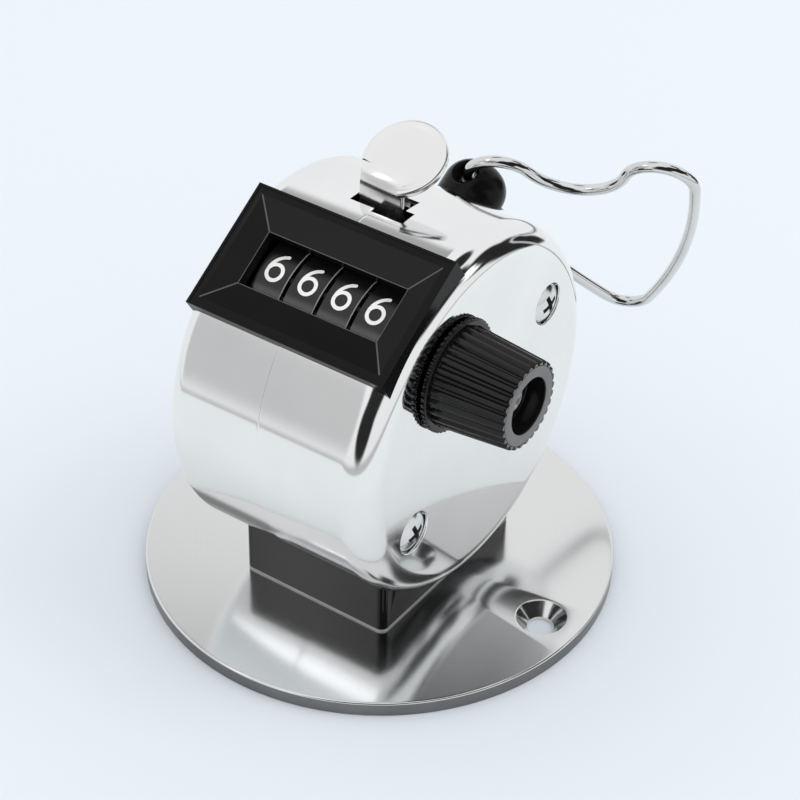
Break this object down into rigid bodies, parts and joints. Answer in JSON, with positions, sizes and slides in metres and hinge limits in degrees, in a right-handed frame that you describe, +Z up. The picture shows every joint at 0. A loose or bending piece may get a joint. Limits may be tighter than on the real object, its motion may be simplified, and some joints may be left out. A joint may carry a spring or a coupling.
{
  "type": "tally counter",
  "caption": "Desk tally counter: plated drum case on a round base, black window with number wheels, thumb lever, ribbed reset knob and heart-shaped wire finger ring.",
  "frame": {"origin": "centre of the round base plate's underside, where the counter rests", "axes": "+Z up from the base; +X along the drum towards the reset knob; +Y to the back, where the finger ring hangs; the window faces -Y and up"},
  "size_m": [0.06, 0.0706, 0.0605],
  "materials": {
    "polished_steel": "bright nickel-chrome plating on drawn steel",
    "satin_steel": "plated steel, polished with fine marks",
    "ring_wire": "plated steel wire",
    "black_gloss": "black moulded plastic with a shine",
    "black_satin": "black moulded plastic, satin",
    "wheel_black": "black moulded plastic with white printed digits",
    "zinc_screw": "bright zinc plate on steel",
    "frame_steel": "plain pressed and turned steel",
    "bush_brass": "turned brass",
    "gear_plastic": "natural white moulded plastic"
  },
  "bodies": {
    "case": {"base_plate": "satin_steel", "pedestal": "black_satin", "base_screws": "zinc_screw", "base_nuts": "zinc_screw", "left_shell": "polished_steel", "right_shell": "polished_steel", "window_bezel": "black_gloss", "case_pillars": "frame_steel", "case_screws": "zinc_screw", "frame_plate_left": "frame_steel", "frame_plate_right": "frame_steel", "frame_sleeves": "frame_steel", "shaft_bushes": "bush_brass", "lever_pin": "frame_steel", "transfer_shaft": "frame_steel", "holding_pawl": "frame_steel", "ring_holder": "black_gloss", "holder_rivet": "zinc_screw"},
    "lever": {"thumb_lever": "satin_steel", "drive_pawl": "frame_steel", "pawl_pin": "frame_steel", "return_spring": "frame_steel"},
    "reset": {"reset_knob": "black_satin", "knob_screw": "zinc_screw", "reset_shaft": "frame_steel", "shaft_clip": "zinc_screw", "wheel_spacer": "gear_plastic"},
    "units_wheel": {"number_wheel_units": "wheel_black"},
    "tens_wheel": {"number_wheel_tens": "wheel_black"},
    "hundreds_wheel": {"number_wheel_hundreds": "wheel_black"},
    "thousands_wheel": {"number_wheel_thousands": "wheel_black"},
    "ratchet": {"ratchet_wheel": "gear_plastic"},
    "ring": {"wire_ring": "ring_wire"},
    "tens_gear": {"carry_gear_tens": "gear_plastic"},
    "tens_pinion": {"transfer_pinion_tens": "gear_plastic"},
    "hundreds_gear": {"carry_gear_hundreds": "gear_plastic"},
    "hundreds_pinion": {"transfer_pinion_hundreds": "gear_plastic"},
    "thousands_gear": {"carry_gear_thousands": "gear_plastic"},
    "thousands_pinion": {"transfer_pinion_thousands": "gear_plastic"}
  },
  "joints": [
    {"name": "lever_press", "type": "hinge", "parent": "case", "child": "lever", "pos_m": [0, 0.00205, 0.04684], "axis": [-1, 0, 0], "range_deg": [0, 22], "stiffness_Nm_per_rad": 0.08, "springref_deg": -17.19},
    {"name": "reset_turn", "type": "hinge", "parent": "case", "child": "reset", "pos_m": [0, -0.00666, 0.03926], "axis": [1, 0, 0], "continuous": true},
    {"name": "ratchet_turn", "type": "hinge", "parent": "case", "child": "ratchet", "pos_m": [0, -0.00666, 0.03926], "axis": [1, 0, 0], "range_deg": [0, 36]},
    {"name": "units_turn", "type": "hinge", "parent": "reset", "child": "units_wheel", "pos_m": [0, -0.00666, 0.03926], "axis": [1, 0, 0], "range_deg": [0, 36]},
    {"name": "tens_gear_turn", "type": "hinge", "parent": "case", "child": "tens_gear", "pos_m": [0, -0.00666, 0.03926], "axis": [1, 0, 0], "continuous": true},
    {"name": "tens_turn", "type": "hinge", "parent": "reset", "child": "tens_wheel", "pos_m": [0, -0.00666, 0.03926], "axis": [1, 0, 0], "continuous": true},
    {"name": "tens_pinion_turn", "type": "hinge", "parent": "case", "child": "tens_pinion", "pos_m": [0, -0.00149, 0.03029], "axis": [1, 0, 0], "continuous": true},
    {"name": "hundreds_gear_turn", "type": "hinge", "parent": "case", "child": "hundreds_gear", "pos_m": [0, -0.00666, 0.03926], "axis": [1, 0, 0], "continuous": true},
    {"name": "hundreds_turn", "type": "hinge", "parent": "reset", "child": "hundreds_wheel", "pos_m": [0, -0.00666, 0.03926], "axis": [1, 0, 0], "continuous": true},
    {"name": "hundreds_pinion_turn", "type": "hinge", "parent": "case", "child": "hundreds_pinion", "pos_m": [0, -0.00149, 0.03029], "axis": [1, 0, 0], "continuous": true},
    {"name": "thousands_gear_turn", "type": "hinge", "parent": "case", "child": "thousands_gear", "pos_m": [0, -0.00666, 0.03926], "axis": [1, 0, 0], "continuous": true},
    {"name": "thousands_turn", "type": "hinge", "parent": "reset", "child": "thousands_wheel", "pos_m": [0, -0.00666, 0.03926], "axis": [1, 0, 0], "continuous": true},
    {"name": "thousands_pinion_turn", "type": "hinge", "parent": "case", "child": "thousands_pinion", "pos_m": [0, -0.00149, 0.03029], "axis": [1, 0, 0], "continuous": true},
    {"name": "ring_swing", "type": "hinge", "parent": "case", "child": "ring", "pos_m": [-0.0015, 0.02043, 0.04591], "axis": [0, -0.5, 0.866], "range_deg": [-24, 164]}
  ],
  "couplings": [
    {"joint": "ratchet_turn", "follows": "lever_press", "ratio": 1.6364},
    {"joint": "units_turn", "follows": "lever_press", "ratio": 1.6364},
    {"joint": "tens_turn", "follows": "tens_gear_turn", "ratio": 1},
    {"joint": "tens_pinion_turn", "follows": "tens_gear_turn", "ratio": -2.5},
    {"joint": "hundreds_turn", "follows": "hundreds_gear_turn", "ratio": 1},
    {"joint": "hundreds_pinion_turn", "follows": "hundreds_gear_turn", "ratio": -2.5},
    {"joint": "thousands_turn", "follows": "thousands_gear_turn", "ratio": 1},
    {"joint": "thousands_pinion_turn", "follows": "thousands_gear_turn", "ratio": -2.5}
  ]
}
